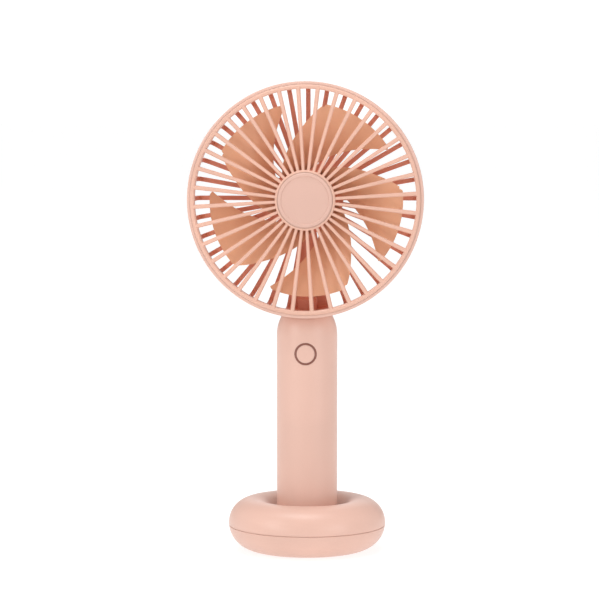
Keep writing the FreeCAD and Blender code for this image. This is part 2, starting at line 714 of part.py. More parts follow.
both = [lead([(-10.3, 0, D["cell_low"] - 0.1), (-10.3, 0, 74.4), (-8.0, 1.55, 75.9), (-8.0, 1.55, 78.4)],
             D["lead_r"], 1.2),
        lead([(6.8, 0, 74.45), (6.8, 0, 74.9), (6.8, 1.55, 76.2), (6.8, 1.55, 78.4)],
             D["lead_r"], 0.6)]
o = doc.addObject("Part::Feature", "battery_leads")
o.Shape = Part.makeCompound(both)
keep(o, "battery_leads")

# ================================================================ handle halves
half = {}
for name, front in (("handle_front_shell", True), ("handle_rear_shell", False)):
    b = new_body(name)
    sk = new_sketch(b, "XZ_Plane", name + "_outline")
    # outer and inner wall of the tube with its elliptical shoulder
    g = []
    g.append(Part.LineSegment(V(D["handle_ir"], D["shell_low"], 0), V(D["handle_r"], D["shell_low"], 0)))
    g.append(Part.LineSegment(V(D["handle_r"], D["shell_low"], 0), V(D["handle_r"], D["dome_low"], 0)))
    e1 = Part.Ellipse(V(0, D["dome_low"] + D["dome_rise"], 0), V(D["handle_r"], D["dome_low"], 0),
                      V(0, D["dome_low"], 0))
    e2 = Part.Ellipse(V(0, D["dome_low"] + D["dome_in_rise"], 0), V(D["handle_ir"], D["dome_low"], 0),
                      V(0, D["dome_low"], 0))
    quarter = (0, math.pi / 2) if e1.value(math.pi / 2).x > 0 else (-math.pi / 2, 0)
    a1 = Part.ArcOfEllipse(e1, *quarter)
    a2 = Part.ArcOfEllipse(e2, *quarter)
    g += [a1, Part.LineSegment(V(0, D["dome_low"] + D["dome_rise"], 0),
                               V(0, D["dome_low"] + D["dome_in_rise"], 0)),
          a2, Part.LineSegment(V(D["handle_ir"], D["dome_low"], 0), V(D["handle_ir"], D["shell_low"], 0))]
    ids = [sk.addGeometry(q, False) for q in g]
    for gi, (x, y) in ((ids[0], ("dims.handle_ir", "dims.shell_low")),
                       (ids[1], ("dims.handle_r", "dims.shell_low"))):
        pin_point(sk, gi, 1, x, y)
    sk.addConstraint(Sketcher.Constraint("Coincident", ids[0], 2, ids[1], 1))
    pin_point(sk, ids[1], 2, "dims.handle_r", "dims.dome_low")
    pin_point(sk, ids[3], 1, 0, "dims.dome_low+dims.dome_rise")
    pin_point(sk, ids[3], 2, 0, "dims.dome_low+dims.dome_in_rise")
    pin_point(sk, ids[5], 1, "dims.handle_ir", "dims.dome_low")
    sk.addConstraint(Sketcher.Constraint("Coincident", ids[5], 2, ids[0], 1))

    def tie(gi, pos, target):
        best = None
        for gj in ids:
            if gj == gi:
                continue
            for pj in (1, 2):
                if (sk.getPoint(gj, pj) - target).Length < 1e-4:
                    best = (gj, pj)
        if best:
            sk.addConstraint(Sketcher.Constraint("Coincident", gi, pos, best[0], best[1]))
    for gi in (ids[2], ids[4]):
        for pos in (1, 2):
            tie(gi, pos, sk.getPoint(gi, pos))
    f = revolve(b, sk, name + "_tube", 180.0)
    if (b.Shape.BoundBox.YMax > 1.0) == front:
        f.Reversed = True
        doc.recompute()
    # saddle that seats the head's ring
    sk = new_sketch(b, "YZ_Plane", name + "_saddle_outline")
    hzs = "dims.head_z-"
    g_ = "+dims.saddle_gap+dims.web_more"
    profile(sk, [(-30.0, hzs + "30.0"), (-30.0, hzs + "(dims.ring_or" + g_ + ")"),
                 ("dims.ring_back", hzs + "(dims.ring_or" + g_ + ")"),
                 ("dims.bowl_cy", hzs + "(dims.bowl_cr+dims.bowl_r" + g_ + ")",
                  ("arc", "dims.bowl_cy", hzs + "dims.bowl_cr", True)),
                 ("dims.rear_face" + g_, hzs + "dims.bowl_cr"),
                 ("dims.rear_face" + g_, hzs + "30.0")])
    ax = sk.addGeometry(Part.LineSegment(V(-30, D["head_z"], 0), V(30, D["head_z"], 0)), True)
    sk.addConstraint(Sketcher.Constraint("Horizontal", ax))
    pin_point(sk, ax, 1, -30.0, "dims.head_z")
    f = revolve(b, sk, name + "_saddle", 360.0, groove=True, axis=(sk, ["Axis0"]))
    # room for the head's stub between the halves
    sk = new_sketch(b, "XY_Plane", name + "_stub_bore_outline", 90.0)
    circle(sk, 0, 0, "dims.stub_r+0.1")
    pocket(b, sk, name + "_stub_bore", 30.0, rev=True)
    # fine parting line down both sides, between the halves
    for side in (1, -1):
        sk = new_sketch(b, "XZ_Plane", name + "_parting_outline" + ("" if side > 0 else "_left"))
        ins = 0.18
        arc = [(side * (D["handle_r"] - ins) * math.cos(math.radians(t)),
                D["dome_low"] + (D["dome_rise"] - ins) * math.sin(math.radians(t)))
               for t in (8, 16, 24, 32, 40, 48)]
        profile(sk, [(side * (D["handle_r"] - ins), D["shell_low"] - 1.0),
                     (side * (D["handle_r"] - ins), D["dome_low"])] + arc
                + [(side * 16.0, arc[-1][1]), (side * 16.0, D["shell_low"] - 1.0)])
        f = b.newObject("PartDesign::Groove", name + "_parting" + ("" if side > 0 else "_left"))
        f.Profile = sk
        f.ReferenceAxis = (sk, ["V_Axis"])
        f.Angle = val("dims.parting_angle")
        f.setExpression("Angle", "dims.parting_angle")
        f.Midplane = True
        sk.Visibility = False
        doc.recompute()
    half[name] = b
    if front:
        sk = new_sketch(b, "XZ_Plane", "button_hole_outline")
        circle(sk, 0, "dims.button_z", "dims.bezel_hole_r")
        f = carve(b, sk, "button_hole", 30.0)
    else:
        # bosses for the two neck screws and posts behind the board
        sk = new_sketch(b, "XZ_Plane", "screw_boss_outline", -8.05)
        for x in ("0-dims.screw_x", "dims.screw_x"):
            circle(sk, x, "dims.screw_z", 2.7)
        pad(b, sk, "screw_bosses", 2.35, rev=True)
        sk = new_sketch(b, "XZ_Plane", "screw_clear_outline")
        for x in ("0-dims.screw_x", "dims.screw_x"):
            circle(sk, x, "dims.screw_z", "dims.pilot_r+0.2")
        f = carve(b, sk, "screw_clear", 30.0)
        sk = new_sketch(b, "XZ_Plane", "screw_recess_outline", -9.9)
        for x in ("0-dims.screw_x", "dims.screw_x"):
            circle(sk, x, "dims.screw_z", "dims.screw_head_r+0.15")
        f = carve(b, sk, "screw_recess", 20.0)
        sk = new_sketch(b, "XZ_Plane", "board_post_outline", "0-dims.board_back")
        for x in (-6.9, 6.9):
            for z in (76.9, 88.6):
                circle(sk, x, z, 1.1)
        pad(b, sk, "board_posts", 6.6, rev=True)
        # charging port opening
        sk = new_sketch(b, "XZ_Plane", "port_opening_outline")
        obround(sk, D["usb_w"] + 0.3, D["usb_thick"] + 0.3, D["usb_z"])
        f = carve(b, sk, "port_opening", 30.0)
    keep(b, name)

b = new_body("handle_bottom_cap")
sk = new_sketch(b, "XZ_Plane", "bottom_cap_outline")
profile(sk, [(0, "dims.cap_low"), ("dims.handle_r-0.9", "dims.cap_low"),
             ("dims.handle_r-0.1", "dims.cap_low+0.7"), ("dims.handle_r-0.1", "dims.shell_low"),
             ("dims.plug_r", "dims.shell_low"), ("dims.plug_r", "dims.plug_top"),
             ("dims.plug_r-1.4", "dims.plug_top"), ("dims.plug_r-1.4", "dims.shell_low+0.4"),
             (0, "dims.shell_low+0.4")])
revolve(b, sk, "bottom_cap_disc")
keep(b, "handle_bottom_cap")

# ================================================================ button group
def by_cylinder(name, r, y0, y1, zc, bore=None, face=None, extra=None):
    """Round piece along Y, its front cut to the handle's own curve."""
    c = doc.addObject("Part::Cylinder", name + "_rod")
    c.Radius = val(r)
    c.setExpression("Radius", r)
    c.Height = val(y1) - val(y0)
    c.Placement = FreeCAD.Placement(V(0, val(y0), val(zc)), FreeCAD.Rotation(V(1, 0, 0), -90))
    c.setExpression("Placement.Base.z", zc)
    cur = c
    if bore:
        h = doc.addObject("Part::Cylinder", name + "_bore")
        h.Radius = val(bore)
        h.setExpression("Radius", bore)
        h.Height = 40
        h.Placement = FreeCAD.Placement(V(0, -30, val(zc)), FreeCAD.Rotation(V(1, 0, 0), -90))
        h.setExpression("Placement.Base.z", zc)
        k = doc.addObject("Part::Cut", name + "_ring")
        k.Base, k.Tool = c, h
        cur = k
    if extra:
        m = doc.addObject("Part::MultiFuse", name + "_group")
        m.Shapes = [cur] + extra
        cur = m
    if face:
        h = doc.addObject("Part::Cylinder", name + "_curve")
        h.Radius = val(face)
        h.setExpression("Radius", face)
        h.Height = 40
        h.Placement = FreeCAD.Placement(V(0, 0, val(zc) - 20), FreeCAD.Rotation())
        h.setExpression("Placement.Base.z", zc + "-20")
        k = doc.addObject("Part::Common", name)
        k.Base, k.Tool = cur, h
        cur = k
    doc.recompute()
    return cur


ex = []
for nm, r, y0, y1 in (("button_flange", "dims.flange_r", -10.5, -9.7),
                      ("button_stem", "dims.button_stem_r", -9.8, "dims.stem_face")):
    c = doc.addObject("Part::Cylinder", nm)
    c.Radius = val(r)
    c.setExpression("Radius", r)
    c.Height = val(y1) - val(y0)
    c.Placement = FreeCAD.Placement(V(0, val(y0), D["button_z"]), FreeCAD.Rotation(V(1, 0, 0), -90))
    c.setExpression("Placement.Base.z", "dims.button_z")
    ex.append(c)
o = by_cylinder("power_button", "dims.button_r", -15.0, -10.4, "dims.button_z",
                face="dims.button_face_r", extra=ex)
keep(o, "power_button")
o = by_cylinder("button_bezel", "dims.bezel_or", -15.0, -10.9, "dims.button_z",
                bore="dims.bezel_ir", face="dims.bezel_face_r")
keep(o, "button_bezel")

# ================================================================ board, switch, port
b = new_body("circuit_board")
sk = new_sketch(b, "XZ_Plane", "board_outline", "0-dims.board_back")
profile(sk, [("0-dims.board_hw", "dims.board_low"), ("dims.board_hw", "dims.board_low"),
             ("dims.board_hw", "dims.board_top-2"), ("dims.board_hw-2", "dims.board_top"),
             ("0-dims.board_hw+2", "dims.board_top"), ("0-dims.board_hw", "dims.board_top-2")])
f = pad(b, sk, "board_sheet", "dims.board_back-dims.board_front")
if abs(b.Shape.BoundBox.YMax - D["board_back"]) > 0.01:
    f.Reversed = True
    doc.recompute()
keep(b, "circuit_board")

b = new_body("switch_body")
sk = new_sketch(b, "XZ_Plane", "switch_outline", "0-dims.board_front")
rect(sk, "0-dims.switch_hw", "dims.button_z-dims.switch_hw", "dims.switch_hw",
     "dims.button_z+dims.switch_hw")
f = pad(b, sk, "switch_block", "dims.board_front-dims.switch_front")
if abs(b.Shape.BoundBox.YMax - D["board_front"]) > 0.01:
    f.Reversed = True
    doc.recompute()
sk = new_sketch(b, "XZ_Plane", "switch_bore_outline", -0.1)
circle(sk, 0, "dims.button_z", "dims.switch_bore_r")
pocket(b, sk, "switch_bore", 10.0, rev=True)
keep(b, "switch_body")

c = doc.addObject("Part::Cylinder", "switch_stem")
c.Radius = D["switch_stem_r"]
c.setExpression("Radius", "dims.switch_stem_r")
c.Height = 4.0
c.Placement = FreeCAD.Placement(V(0, D["stem_face"], D["button_z"]), FreeCAD.Rotation(V(1, 0, 0), -90))
c.setExpression("Placement.Base.y", "dims.stem_face")
c.setExpression("Placement.Base.z", "dims.button_z")
keep(c, "switch_stem")


b = new_body("usb_port_shell")
sk = new_sketch(b, "XZ_Plane", "port_shell_outline", "0-dims.board_back")
obround(sk, D["usb_w"], D["usb_thick"], D["usb_z"])
f = pad(b, sk, "port_tube", "dims.usb_mouth-dims.board_back")
to_y(b, f, D["board_back"], D["usb_mouth"])
sk = new_sketch(b, "XZ_Plane", "port_inner_outline", "0-dims.board_back-1.6")
obround(sk, D["usb_w"] - 2 * D["usb_wall"], D["usb_thick"] - 2 * D["usb_wall"], D["usb_z"])
f = carve(b, sk, "port_hollow", 20.0)
keep(b, "usb_port_shell")

b = new_body("usb_port_tongue")
sk = new_sketch(b, "XZ_Plane", "tongue_outline", "0-dims.board_back-1.6")
rect(sk, -3.34, D["usb_z"] - 0.35, 3.34, D["usb_z"] + 0.35)
f = pad(b, sk, "tongue_blade", 6.9)
to_y(b, f, D["board_back"] + 1.6, D["board_back"] + 8.5)
keep(b, "usb_port_tongue")

b = new_body("board_components")
b.AllowCompound = True
sk = new_sketch(b, "XZ_Plane", "components_outline", "0-dims.board_front")
for x0, z0, x1, z1 in ((-3.2, 77.2, 1.6, 81.2), (3.4, 79.4, 7.4, 83.4), (-7.6, 80.2, -5.2, 81.6),
                       (-7.6, 83.0, -5.2, 84.4), (4.2, 85.2, 6.4, 86.4)):
    rect(sk, x0, z0, x1, z1)
f = pad(b, sk, "component_blocks", 1.4)
to_y(b, f, D["board_front"] - 1.4, D["board_front"])
keep(b, "board_components")

# ================================================================ battery
b = new_body("battery_cell")
sk = new_sketch(b, "XZ_Plane", "cell_outline")
profile(sk, [(0, "dims.cell_low"), ("dims.cell_r-0.8", "dims.cell_low"),
             ("dims.cell_r", "dims.cell_low+0.8"), ("dims.cell_r", "dims.cell_top-5.2"),
             ("dims.cell_r-0.6", "dims.cell_top-4.8"), ("dims.cell_r-0.6", "dims.cell_top-4.2"),
             ("dims.cell_r", "dims.cell_top-3.8"), ("dims.cell_r", "dims.cell_top-1.6"),
             ("dims.cell_r-0.8", "dims.cell_top-0.8"), (3.2, "dims.cell_top-0.8"),
             (2.9, "dims.cell_top"), (0, "dims.cell_top")])
revolve(b, sk, "cell_body")
keep(b, "battery_cell")

b = new_body("battery_tabs")
b.AllowCompound = True
sk = new_sketch(b, "XY_Plane", "lower_tab_outline", "dims.cell_low-0.2")
rect(sk, -9.9, -2.5, 6.0, 2.5)
pad(b, sk, "lower_tab", 0.2)
sk = new_sketch(b, "XY_Plane", "upper_tab_outline", "dims.cell_top")
rect(sk, -2.5, -2.5, 7.6, 2.5)
pad(b, sk, "upper_tab", 0.2)
keep(b, "battery_tabs")

b = new_body("battery_pad")
sk = new_sketch(b, "XY_Plane", "battery_pad_outline", "dims.shell_low+0.4")
circle(sk, 0, 0, 8.8)
pad(b, sk, "battery_pad_disc", "dims.cell_low-0.2-dims.shell_low-0.4")
keep(b, "battery_pad")

# ================================================================ screws
b = new_body("handle_screws")
b.AllowCompound = True
sk = new_sketch(b, "XZ_Plane", "screw_heads_outline", -10.95)
for x in ("0-dims.screw_x", "dims.screw_x"):
    circle(sk, x, "dims.screw_z", "dims.screw_head_r")
f = pad(b, sk, "screw_heads", 1.05)
to_y(b, f, 9.9, 10.95)
sk = new_sketch(b, "XZ_Plane", "screw_shanks_outline", -9.9)
for x in ("0-dims.screw_x", "dims.screw_x"):
    circle(sk, x, "dims.screw_z", "dims.screw_r")
f = pad(b, sk, "screw_shanks", 8.4)
to_y(b, f, 1.5, 10.95)
sk = new_sketch(b, "XZ_Plane", "screw_cross_outline", -10.45)
for s in (-1, 1):
    x, z = s * D["screw_x"], D["screw_z"]
    w, l = 0.22, 1.0
    profile(sk, [(x - l, z - w), (x - w, z - w), (x - w, z - l), (x + w, z - l), (x + w, z - w),
                 (x + l, z - w), (x + l, z + w), (x + w, z + w), (x + w, z + l), (x - w, z + l),
                 (x - w, z + w), (x - l, z + w)])
f = carve(b, sk, "screw_cross", 3.0)
keep(b, "handle_screws")

# ================================================================ base
# The base's section: an upper and a lower arc that meet, upright, at its equator.
def up_z(r, R):
    return D["eq_z"] + math.sqrt(R * R - (r - D["up_cr"]) ** 2)


def low_x(z, R):
    return D["low_cr"] + math.sqrt(R * R - (z - D["eq_z"]) ** 2)


UR, LR, sg = D["up_r"], D["low_r"], D["seam_gap"] / 2
UI, LI = UR - D["base_wall"], LR - D["base_wall"]
up_arc, up_back = ("arc", "dims.up_cr", "dims.eq_z", True), ("arc", "dims.up_cr", "dims.eq_z", False)
low_arc, low_back = ("arc", "dims.low_cr", "dims.eq_z", True), ("arc", "dims.low_cr", "dims.eq_z", False)
b = new_body("base_upper_shell")
sk = new_sketch(b, "XZ_Plane", "base_upper_outline")
ch = 0.22
zs = D["seam_z"]
profile(sk, [(low_x(zs + sg, LR) - ch, zs + sg), (low_x(zs + sg + ch, LR), zs + sg + ch, low_arc),
             ("dims.low_cr+dims.low_r", "dims.eq_z", up_arc),
             ("dims.up_cr", "dims.eq_z+dims.up_r", up_arc),
             ("dims.socket_r", up_z(D["socket_r"], UR)),
             ("dims.socket_r", "dims.socket_floor"), ("dims.socket_or", "dims.socket_floor"),
             ("dims.socket_or", up_z(D["socket_or"], UI), up_back),
             ("dims.up_cr", "dims.eq_z+dims.up_r-dims.base_wall", up_back),
             ("dims.low_cr+dims.low_r-dims.base_wall", "dims.eq_z", low_back),
             (low_x(zs + sg, LI), zs + sg)])
revolve(b, sk, "base_upper_skin")
# three screw posts hanging from the upper skin
sk = new_sketch(b, "XY_Plane", "base_post_outline", "dims.base_floor+0.1")
circle(sk, "dims.post_cr", 0, "dims.post_r")
f = pad(b, sk, "base_post", "dims.post_top-dims.base_floor-0.1")
p2 = f
sk = new_sketch(b, "XY_Plane", "base_pilot_outline", "dims.base_floor-0.5")
circle(sk, "dims.post_cr", 0, "dims.pilot_r")
f = carve(b, sk, "base_pilot", 8.6)
polar(b, [p2, f], "base_posts", 3, role="Z_Axis")
keep(b, "base_upper_shell")

b = new_body("base_lower_shell")
sk = new_sketch(b, "XZ_Plane", "base_lower_outline")
profile(sk, [(0, 2.0), (14.6, 2.0), (14.6, "dims.base_under"), ("dims.foot_ir-0.1", "dims.base_under"),
             ("dims.foot_ir-0.1", "dims.foot_top"), ("dims.foot_or+0.1", "dims.foot_top"),
             ("dims.foot_or+0.1", "dims.base_under"),
             (low_x(D["base_under"], LR), "dims.base_under", low_arc),
             (low_x(zs - sg - ch, LR), zs - sg - ch), (low_x(zs - sg, LR) - ch, zs - sg),
             (low_x(zs - sg, LI), zs - sg, low_back),
             (low_x(D["base_floor"], LI), "dims.base_floor"), (15.8, "dims.base_floor"),
             (15.8, "dims.socket_floor"), (0, "dims.socket_floor")])
revolve(b, sk, "base_lower_skin")
sk = new_sketch(b, "XY_Plane", "base_hole_outline")
circle(sk, "dims.post_cr", 0, 1.3)
f1 = carve(b, sk, "base_hole", 6.0)
sk = new_sketch(b, "XY_Plane", "base_head_recess_outline")
circle(sk, "dims.post_cr", 0, 2.15)
f2 = carve(b, sk, "base_head_recess", 2.2)
polar(b, [f1, f2], "base_holes", 3, role="Z_Axis")
keep(b, "base_lower_shell")

b = new_body("base_weight")
sk = new_sketch(b, "XZ_Plane", "weight_outline")
profile(sk, [("dims.weight_ir", "dims.base_floor"), ("dims.weight_or-0.5", "dims.base_floor"),
             ("dims.weight_or", "dims.base_floor+0.5"), ("dims.weight_or", "dims.weight_top-0.5"),
             ("dims.weight_or-0.5", "dims.weight_top"), ("dims.weight_ir+0.5", "dims.weight_top"),
             ("dims.weight_ir", "dims.weight_top-0.5")])
revolve(b, sk, "weight_ring")
sk = new_sketch(b, "XY_Plane", "weight_hole_outline")
circle(sk, "dims.post_cr", 0, "dims.post_hole_r")
f = carve(b, sk, "weight_hole", 20.0)
polar(b, [f], "weight_holes", 3, role="Z_Axis")
keep(b, "base_weight")

b = new_body("foot_ring")
sk = new_sketch(b, "XZ_Plane", "foot_outline")
profile(sk, [("dims.foot_ir+0.3", 0), ("dims.foot_or-0.3", 0), ("dims.foot_or", 0.3),
             ("dims.foot_or", "dims.foot_top"), ("dims.foot_ir", "dims.foot_top"),
             ("dims.foot_ir", 0.3)])
revolve(b, sk, "foot_band")
keep(b, "foot_ring")

b = new_body("base_screws")
b.AllowCompound = True
sk = new_sketch(b, "XY_Plane", "base_screw_head_outline", 1.1)
circle(sk, "dims.post_cr", 0, 1.9)
q1 = pad(b, sk, "base_screw_head", 1.05)
sk = new_sketch(b, "XY_Plane", "base_screw_shank_outline", 2.1)
circle(sk, "dims.post_cr", 0, "dims.screw_r")
q2 = pad(b, sk, "base_screw_shank", 8.4)
polar(b, [q1, q2], "base_screw_set", 3, role="Z_Axis")
keep(b, "base_screws")

# ================================================================ check and write
doc.recompute()
bad = []
for o in doc.Objects:
    st = list(o.State)
    if "Invalid" in st or "Error" in st:
        bad.append((o.Name, st))
for o in SUB:
    s = o.Shape
    ok = (not s.isNull()) and s.isValid()
    bb = s.BoundBox
    print("%-20s solids %d valid %s vol %9.2f  x %.2f %.2f y %.2f %.2f z %.2f %.2f" % (
        o.Label, len(s.Solids), ok, s.Volume, bb.XMin, bb.XMax, bb.YMin, bb.YMax, bb.ZMin, bb.ZMax))
    if not ok:
        bad.append((o.Label, "shape"))
if bad:
    raise RuntimeError("not valid: %s" % bad)
for o in SUB:
    o.Shape.exportStep("parts/%s.step" % o.Label)
print("wrote", len(SUB))
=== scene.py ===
import bpy
import math
from mathutils import Vector, Matrix

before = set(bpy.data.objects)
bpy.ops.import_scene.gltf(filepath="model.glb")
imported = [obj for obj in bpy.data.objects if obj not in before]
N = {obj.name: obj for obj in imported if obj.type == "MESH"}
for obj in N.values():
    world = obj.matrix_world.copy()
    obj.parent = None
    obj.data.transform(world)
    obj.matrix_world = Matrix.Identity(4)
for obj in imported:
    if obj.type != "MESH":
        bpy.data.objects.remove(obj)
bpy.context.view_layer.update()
HEAD_Z = 0.1543


# ---------------------------------------------------------------- node helpers
def new_mat(name):
    m = bpy.data.materials.new(name)
    m.use_nodes = True
    nt = m.node_tree
    for n in list(nt.nodes):
        nt.nodes.remove(n)
    out = nt.nodes.new("ShaderNodeOutputMaterial")
    bs = nt.nodes.new("ShaderNodeBsdfPrincipled")
    nt.links.new(bs.outputs[0], out.inputs[0])
    return m, nt, bs


def coords(nt):
    return nt.nodes.new("ShaderNodeTexCoord").outputs["Object"]


def noise(nt, vec, scale, detail=3.0, rough=0.5):
    n = nt.nodes.new("ShaderNodeTexNoise")
    n.inputs["Scale"].default_value = scale
    n.inputs["Detail"].default_value = detail
    n.inputs["Roughness"].default_value = rough
    nt.links.new(vec, n.inputs["Vector"])
    return n.outputs["Fac"]


def voronoi(nt, vec, scale, feature="F1"):
    n = nt.nodes.new("ShaderNodeTexVoronoi")
    n.feature = feature
    n.inputs["Scale"].default_value = scale
    nt.links.new(vec, n.inputs["Vector"])
    return n.outputs["Distance"]


def remap(nt, v, a, b, c, d):
    n = nt.nodes.new("ShaderNodeMapRange")
    n.inputs[1].default_value = a
    n.inputs[2].default_value = b
    n.inputs[3].default_value = c
    n.inputs[4].default_value = d
    nt.links.new(v, n.inputs[0])
    return n.outputs[0]


def mathn(nt, op, a, b=None, clamp=False):
    n = nt.nodes.new("ShaderNodeMath")
    n.operation = op
    n.use_clamp = clamp
    for i, v in enumerate((a, b)):
        if v is None:
            continue
        if isinstance(v, (int, float)):
            n.inputs[i].default_value = v
        else:
            nt.links.new(v, n.inputs[i])
    return n.outputs[0]


def mix(nt, fac, a, b, blend="MIX"):
    n = nt.nodes.new("ShaderNodeMix")
    n.data_type = "RGBA"
    n.blend_type = blend
    for key, v in ((0, fac), (6, a), (7, b)):
        if isinstance(v, (int, float)):
            n.inputs[key].default_value = v
        elif isinstance(v, tuple):
            n.inputs[key].default_value = (v[0], v[1], v[2], 1.0)
        else:
            nt.links.new(v, n.inputs[key])
    return n.outputs[2]


def bump(nt, bs, height, dist, strength=1.0, normal=None):
    n = nt.nodes.new("ShaderNodeBump")
    n.inputs["Strength"].default_value = strength
    n.inputs["Distance"].default_value = dist
    nt.links.new(height, n.inputs["Height"])
    if normal is not None:
        nt.links.new(normal, n.inputs["Normal"])
    nt.links.new(n.outputs[0], bs.inputs["Normal"])
    return n.outputs[0]


def edge_mask(nt, radius, gain=6.0):
    """Bright along convex edges: how far the rounded normal leaves the true one."""
    bv = nt.nodes.new("ShaderNodeBevel")
    bv.samples = 4
    bv.inputs["Radius"].default_value = radius
    g = nt.nodes.new("ShaderNodeNewGeometry")
    d = nt.nodes.new("ShaderNodeVectorMath")
    d.operation = "DOT_PRODUCT"
    nt.links.new(bv.outputs[0], d.inputs[0])
    nt.links.new(g.outputs["Normal"], d.inputs[1])
    inv = mathn(nt, "SUBTRACT", 1.0, d.outputs["Value"])
    return mathn(nt, "MULTIPLY", inv, gain, clamp=True)


def moulded(name, col, rough=0.42, grain=5200.0, depth=9e-6, vary=0.05, wear_and_highlight=0.10, spec=0.5,
            shade=None):
    """Satin moulded plastic: fine spark-eroded grain, slow tone drift, faint
    rubbed edges lightened both as wear and as a painted edge highlight, small scuffs
    in the roughness; an optional shade function paints shade into the colour."""
    m, nt, bs = new_mat(name)
    co = coords(nt)
    drift = noise(nt, co, 28.0, 2.0)
    fleck = noise(nt, co, 1500.0, 2.0, 0.6)
    dark = tuple(c * (1 - vary) for c in col)
    lite = tuple(min(1.0, c * (1 + vary * 0.55)) for c in col)
    base = mix(nt, remap(nt, drift, 0.35, 0.65, 0.0, 1.0), dark, lite)
    base = mix(nt, remap(nt, fleck, 0.3, 0.7, 0.0, 0.16), base, tuple(c * 0.86 for c in col))
    if shade is not None:
        base = shade(nt, base)
    e = edge_mask(nt, 0.00035)
    # wear and painted edge highlight: convex edges lightened in patches
    rub_and_edge_highlight = mathn(nt, "MULTIPLY", e, remap(nt, noise(nt, co, 160.0, 3.0), 0.4, 0.7, 0.0, wear_and_highlight * 4), clamp=True)
    base = mix(nt, mathn(nt, "MULTIPLY", rub_and_edge_highlight, 0.5), base, tuple(min(1.0, c * 1.12 + 0.02) for c in col))
    nt.links.new(base, bs.inputs["Base Color"])
    r1 = remap(nt, noise(nt, co, 420.0, 4.0, 0.6), 0.3, 0.7, rough - 0.05, rough + 0.05)
    r2 = mathn(nt, "MULTIPLY", rub_and_edge_highlight, -0.10)
    nt.links.new(mathn(nt, "ADD", r1, r2, clamp=True), bs.inputs["Roughness"])
    bs.inputs["IOR"].default_value = 1.49
    bs.inputs["Specular IOR Level"].default_value = spec
    h = mathn(nt, "ADD", mathn(nt, "MULTIPLY", noise(nt, co, grain, 2.0, 0.55), 1.0),
              mathn(nt, "MULTIPLY", voronoi(nt, co, grain * 0.45), 0.45))
    bump(nt, bs, h, depth)
    return m


def metal(name, col, rough=0.3, stretch=(1, 1, 30), scale=600.0, depth=4e-6):
    """Drawn or brushed metal: fine directional lines and a slight tarnish."""
    m, nt, bs = new_mat(name)
    co = coords(nt)
    mp = nt.nodes.new("ShaderNodeMapping")
    mp.inputs["Scale"].default_value = stretch
    nt.links.new(co, mp.inputs["Vector"])
    lines = noise(nt, mp.outputs[0], scale, 3.0, 0.6)
    patch = noise(nt, co, 180.0, 3.0)
    base = mix(nt, remap(nt, patch, 0.3, 0.7, 0.0, 1.0), tuple(c * 0.86 for c in col), col)
    nt.links.new(base, bs.inputs["Base Color"])
    bs.inputs["Metallic"].default_value = 1.0
    nt.links.new(remap(nt, lines, 0.3, 0.7, rough - 0.08, rough + 0.10), bs.inputs["Roughness"])
    bump(nt, bs, lines, depth)
    return m


def soft(name, col, rough=0.75, scale=2600.0, depth=3e-5, vary=0.12):
    """Rubber, foam or cast surface: matte, pebbled."""
    m, nt, bs = new_mat(name)
    co = coords(nt)
    pat = noise(nt, co, 90.0, 3.0)
    base = mix(nt, remap(nt, pat, 0.3, 0.7, 0.0, 1.0), tuple(c * (1 - vary) for c in col),
               tuple(min(1, c * (1 + vary)) for c in col))
    nt.links.new(base, bs.inputs["Base Color"])
    nt.links.new(remap(nt, noise(nt, co, 700.0, 3.0), 0.3, 0.7, rough - 0.06, rough + 0.06),
                 bs.inputs["Roughness"])
    h = mathn(nt, "ADD", noise(nt, co, scale, 3.0, 0.6), mathn(nt, "MULTIPLY", voronoi(nt, co, scale * 0.5), 0.6))
    bump(nt, bs, h, depth)
    return m


# ---------------------------------------------------------------- colours
PINK = (0.725, 0.462, 0.378)
RIB_FRONT = (0.735, 0.440, 0.338)
TAN = (0.905, 0.497, 0.300)
# painted shade: terracotta that stands in for shadow on the rear cage's inner faces
PAINTED_SHADE_BRICK = (0.740, 0.295, 0.200)


